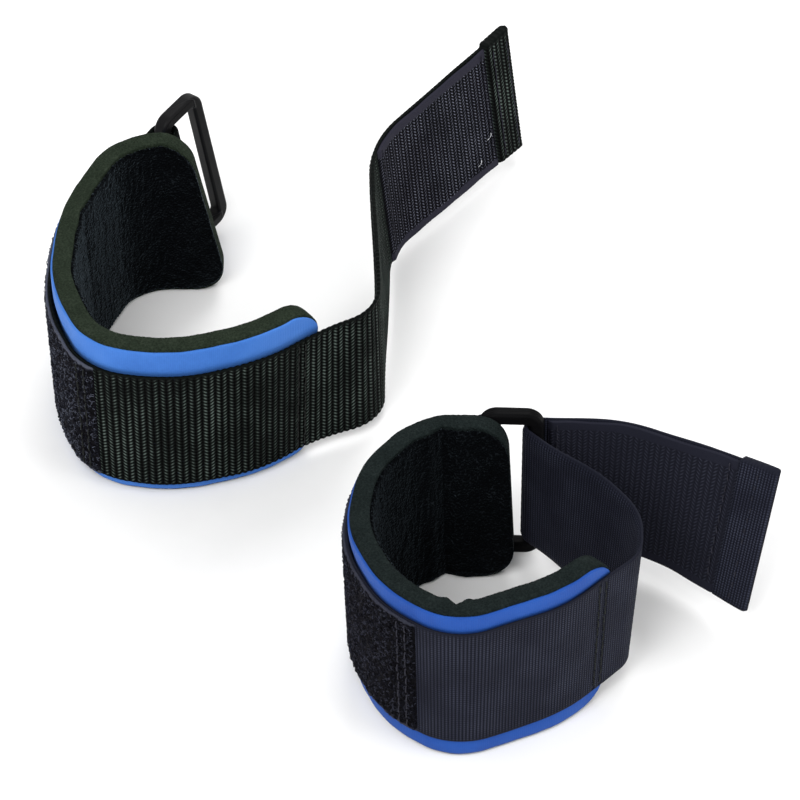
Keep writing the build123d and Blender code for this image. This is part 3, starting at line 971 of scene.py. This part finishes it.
def keeper(band, matrix, by):
    """A strap's end, folded round its ring's bar."""
    route = keeper_route()
    piece = strap(
        f"{band.name}_strap_keeper", route, 0, route.length, -band.thickness, constant(RING_STRAP_BASE),
        constant(0.0), band.cloth, 0.0, 0.4 * MM, 0.8 * MM, matrix=matrix,
    )
    carried(dress(piece, band.finish, f"webbing_{band.name}", f"{band.name}_keeper"), by)


def strip(band, name, start, end, rise, margin, *fineness, **more):
    """A tape on a strap's outer face, rise thick, that leaves a margin at both edges."""
    return tape(
        name, band.route, start, end, band.thickness, band.thickness + rise, lambda p: band.base(p) + margin,
        lambda p: band.base(p) + STRAP_WIDTH - margin, band.lean, *fineness, **more
    )


def hook_strip(band, length, hooks, deep, seed, material, by):
    """The hook tape of a tail, from its hem."""
    piece = strip(
        band, f"{band.name}_hook_strip", HOOK_START, HEM + length, HOOK_TAPE, (STRAP_WIDTH - HOOK_WIDTH) / 2,
        0.4 * MM, 150, 0.04 * MM, seed, hooks=hooks, deep=deep,
    )
    carried(dress(piece, material, "hook_tape", f"{band.name}_hook_tape"), by)


def loop_tape(band, start, end, count, size, material, seed, by, *nodes):
    """Loop tape: a woven ground, and curls standing out of it, in two halves."""
    ground = strip(
        band, f"{band.name}_loop_ground", start, end, GROUND, GROUND_MARGIN, 0.7 * MM, 60, 0.35 * MM, seed,
        skew=band.skew,
    )
    carried(dress(ground, material, "loop_pile"), by)
    halves = {"front": (start, (start + end) / 2), "back": ((start + end) / 2, end)}
    for number, (half, (first, last)) in enumerate(halves.items()):
        noise = np.random.default_rng(seed + 2 * number)
        places = noise.uniform(first + 0.2 * MM, last - 0.2 * MM, count)
        lift = noise.uniform(0.03, 0.965, count)
        heights = band.base(places) + STRAP_WIDTH * lift
        offsets = band.thickness + GROUND * 0.6 + band.lean(places) * STRAP_WIDTH * (lift - 0.5)
        piece = curls(
            f"{band.name}_loop_curls_{half}", band.route, places, offsets, heights, size,
            seed + 2 * number + 1, band.skew(places, heights),
        )
        carried(dress(piece, material, "loop_pile", *nodes[number:number + 1]), by)


def sewn(band, part, columns, rise, material, by, node, seed, inset=0.0, height=STRAP_WIDTH,
         pitch=STITCH_PITCH):
    """Columns of upright stitches across a strap, rise out of its face."""
    noise = np.random.default_rng(seed)
    paths = []
    for column in columns:
        count = int((height - 3 * MM) / pitch)
        lifts = (np.arange(count) - (count - 1) / 2) * pitch + noise.normal(0, 0.12 * MM, count)
        places = column + noise.normal(0, 0.1 * MM, count)
        heights = band.base(places) + inset + height / 2 + lifts
        offsets = band.thickness + rise + band.lean(places) * lifts
        paths.append(stitch_row(band.route, places, offsets, heights, STITCH, seed))
    piece = tubes(f"{band.name}_{part}_thread", np.concatenate(paths), THREAD, 6)
    carried(dress(piece, material, "thread", f"{band.name}_{node}"), by)


# ---- Open strap ----
TAIL_CUT = OPEN_FRONT - 50 * MM      # where its three pieces meet
PAD_CUT = OPEN_FRONT + 40 * MM
OPEN_END = open_strap.length - KEEPER_TAIL / cos(RING_LEAN)
OPEN_BEND = bending(("open_tail_end", "open_tail"), open_strap, *around(OPEN_FRONT - TAIL_BEND, SOFT_REACH))
LEAVING_BEND = bending(("open_tail", "open_grip"), open_strap, *around(OPEN_FRONT - TAIL_FLEX, 8 * MM))
open_base = rising(
    (0, OPEN_STRAP_BASE), (OPEN_FRONT + 100 * MM, OPEN_STRAP_BASE), (OPEN_FRONT + 190 * MM, RING_STRAP_BASE)
)
open_lean = rising(
    (0, -0.15), (OPEN_FRONT - 95 * MM, -0.11), (OPEN_FRONT - 30 * MM, -0.03), (OPEN_FRONT + 8 * MM, FLARE),
    (OPEN_END - LEANING, FLARE), (OPEN_END - 10 * MM, 0),
)


def open_skew(places, heights):
    """The strap's end is cut square to its leaning ring."""
    return -tan(RING_LEAN) * (heights - RING_MIDDLE) * smooth(places, OPEN_END - LEANING, OPEN_END)


coarse = Band("open", open_strap, OPEN_STRAP, open_base, open_lean, open_skew, OPEN_WEAVE, 0.42 * MM,
              0.25 * MM, rib_open)
stretch(coarse, "tail", 0, TAIL_CUT, 0.44 * MM, 0.42 * MM, OPEN_BEND, "open_tail_end_webbing",
        "open_tail_webbing", hem=HEM, scallop=0.05 * MM)
stretch(coarse, "turn", TAIL_CUT, PAD_CUT, 0.37 * MM, 0.36 * MM, LEAVING_BEND, "open_webbing",
        scallop=0.2 * MM, seams=twin(OPEN_FRONT + FRONT_SEAM))
stretch(coarse, "round", PAD_CUT, OPEN_END, 0.5 * MM, 0.45 * MM, WING_BEND, "open_wing_webbing",
        scallop=0.05 * MM)
open_bar_frame = bar_matrix(open_strap, OPEN_STRAP, RING_LEAN)
keeper(coarse, open_bar_frame, "open_wing")
hook_strip(coarse, OPEN_HOOK, 21.5 * MM, 0.4 * MM, 31, hook_open, OPEN_BEND)

# ---- Threaded strap ----
THREADED_END = threaded_strap.length - KEEPER_TAIL
WRAP_CUT = WRAP_END + 30 * MM
threaded_lean = rising(
    (0, -0.32), (WRAP_START - 40 * MM, -0.16), (WRAP_START - 4 * MM, 0), (WRAP_END + 6 * MM, 0),
    ((WRAP_END + THREADED_FRONT) / 2, 0.10), (THREADED_FRONT + 6 * MM, FLARE),
    (THREADED_END - 30 * MM, FLARE), (THREADED_END - 8 * MM, 0),
)
# both of these bends start at the ring and end where the strap has left it
RING_BEND = bending(("threaded_ring", "threaded_tail"), threaded_strap, (WRAP_START + WRAP_END) / 2,
                    WRAP_START - 5 * MM, RING_MIDDLE)
PASS_BEND = bending(("threaded_ring", "threaded_grip"), threaded_strap, WRAP_END, WRAP_CUT, RING_MIDDLE)
FINE_STEPS = (0.22 * MM, 1.2 * MM)     # along the strap and up it
fine = Band("threaded", threaded_strap, THREADED_STRAP, constant(RING_STRAP_BASE), threaded_lean, square,
            THREADED_WEAVE, 0.16 * MM, 0.3 * MM, rib_threaded)
stretch(fine, "tail", 0, WRAP_END, *FINE_STEPS, RING_BEND, "threaded_tail_webbing", hem=HEM)
stretch(fine, "pass", WRAP_END, WRAP_CUT, *FINE_STEPS, PASS_BEND)
stretch(fine, "round", WRAP_CUT, THREADED_END, *FINE_STEPS, "threaded_grip", "threaded_webbing",
        seams=twin(THREADED_FRONT + SIDE_SEAM))
keeper(fine, bar_matrix(threaded_strap, THREADED_STRAP, 0.0), "threaded_grip")
hook_strip(fine, THREADED_HOOK, 21.3 * MM, 0.08 * MM, 33, hook_threaded, RING_BEND)

# ---- Loop tapes ----
loop_tape(coarse, OPEN_FRONT + OPEN_SEAM, OPEN_END, 4600, 0.64 * MM, loops_open, 41, WING_BEND,
          "open_loop_tape", "open_wing_loop_tape")
loop_tape(fine, THREADED_FRONT + THREADED_SEAM, THREADED_END, 4400, 0.6 * MM, loops_threaded, 51,
          "threaded_grip", "threaded_loop_tape")

# ---- Stitches ----
LOOP_RISE = 1.5 * MM
INSET = 3 * MM
HEM_ROWS = (INSET, HEM - INSET)
open_hook_rows = (HEM + INSET, HEM + OPEN_HOOK - INSET)
threaded_hook_rows = (HEM + INSET, HEM + THREADED_HOOK - INSET)
sewn(coarse, "loop", twin(OPEN_FRONT + OPEN_SEAM + INSET), LOOP_RISE, black_thread, "open_grip",
     "loop_seam", 61)
sewn(coarse, "front", twin(OPEN_FRONT + FRONT_SEAM), 0.0, black_thread, "open_grip", "front_seam", 62)
sewn(coarse, "hem", HEM_ROWS, OPEN_STRAP, slate_thread, "open_tail_end", "hem_stitches", 63, pitch=3.2 * MM)
sewn(coarse, "hook", open_hook_rows, HOOK_TAPE, slate_thread, OPEN_BEND, "hook_tape_stitches", 64, INSET,
     HOOK_WIDTH)
sewn(fine, "loop", twin(THREADED_FRONT + THREADED_SEAM + INSET), LOOP_RISE, slate_thread, "threaded_grip",
     "loop_seam", 65)
sewn(fine, "front", twin(THREADED_FRONT + SIDE_SEAM), 0.0, black_thread, "threaded_grip", "front_seam", 66)
sewn(fine, "hem", (HEM / 2,), THREADED_STRAP, slate_thread, "threaded_tail", "hem_stitches", 67)
sewn(fine, "hook", threaded_hook_rows, HOOK_TAPE, slate_thread, "threaded_tail", "hook_tape_stitches", 68,
     INSET, HOOK_WIDTH)

# ---- Two loose ends of white basting thread on the hook tape ----
loose_places = np.array([18.5, 25.5]) * MM
loose_heights = np.array([15.0, 7.5]) * MM
loose = stitch_row(
    open_strap, loose_places,
    OPEN_STRAP + HOOK_TAPE + 0.35 * MM + open_lean(loose_places) * (loose_heights - STRAP_WIDTH / 2),
    OPEN_STRAP_BASE + loose_heights, 3.6 * MM, 71,
)
reach = np.linspace(-1, 1, 7)
loose[:, :, 0] += 0.35 * MM * (1 - reach**2) + 0.8 * MM * reach
loose_thread = tubes("open_loose_thread", loose, 0.13 * MM, 5)
carried(dress(loose_thread, white_thread, "thread"), "open_tail_end")

# ---- Rings: the CAD shape, in moulded nylon ----
for node, across_ring, gloss in (
    ("open_ring", tuple(open_bar_frame[:3, 1]), 0.1), ("threaded_ring", (0.0, 1.0, 0.0), 0.015)
):
    low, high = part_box(node)
    middle = tuple((np.array(low) + np.array(high)) / 2)
    paint(frame["nodes"][node], moulded(f"{node}_nylon", middle, across_ring, gloss))

# ---- Floor, light and camera ----
TARGET = Vector((0.2 * MM, -15.6 * MM, 30 * MM))
DISTANCE = 1.8
ELEVATION = radians(42)
FIELD = 800 / 2.96 * MM

bpy.ops.mesh.primitive_plane_add(size=30, location=(0, 0, -0.0002))
floor = bpy.context.object
floor.name = "floor"
paint(floor, floor_paper())


def soft_light(name, place, size, power):
    data = bpy.data.lights.new(name, "AREA")
    data.shape = "DISK"
    data.size = size
    data.energy = power
    lamp = bpy.data.objects.new(name, data)
    lamp.location = Vector(place)
    lamp.rotation_euler = (TARGET - lamp.location).to_track_quat("-Z", "Y").to_euler()
    bpy.context.scene.collection.objects.link(lamp)


soft_light("key", (-0.5, -1.0, 1.3), 0.9, 16)
soft_light("fill", (1.2, -0.7, 0.9), 1.0, 8)
soft_light("rim", (0.2, 1.1, 1.2), 0.8, 10)

world = bpy.data.worlds.new("studio")
world.use_nodes = True
background = world.node_tree.nodes["Background"].inputs
background["Color"].default_value = (1.0, 1.0, 1.0, 1)
background["Strength"].default_value = 0.9
bpy.context.scene.world = world
bpy.context.scene.view_settings.view_transform = "Standard"

lens = bpy.data.cameras.new("studio_camera")
lens.sensor_width = 36
lens.lens = 36 * DISTANCE / FIELD
camera = bpy.data.objects.new("studio_camera", lens)
camera.location = TARGET + Vector((0, -cos(ELEVATION), sin(ELEVATION))) * DISTANCE
camera.rotation_euler = (TARGET - camera.location).to_track_quat("-Z", "Y").to_euler()
bpy.context.scene.collection.objects.link(camera)
bpy.context.scene.camera = camera
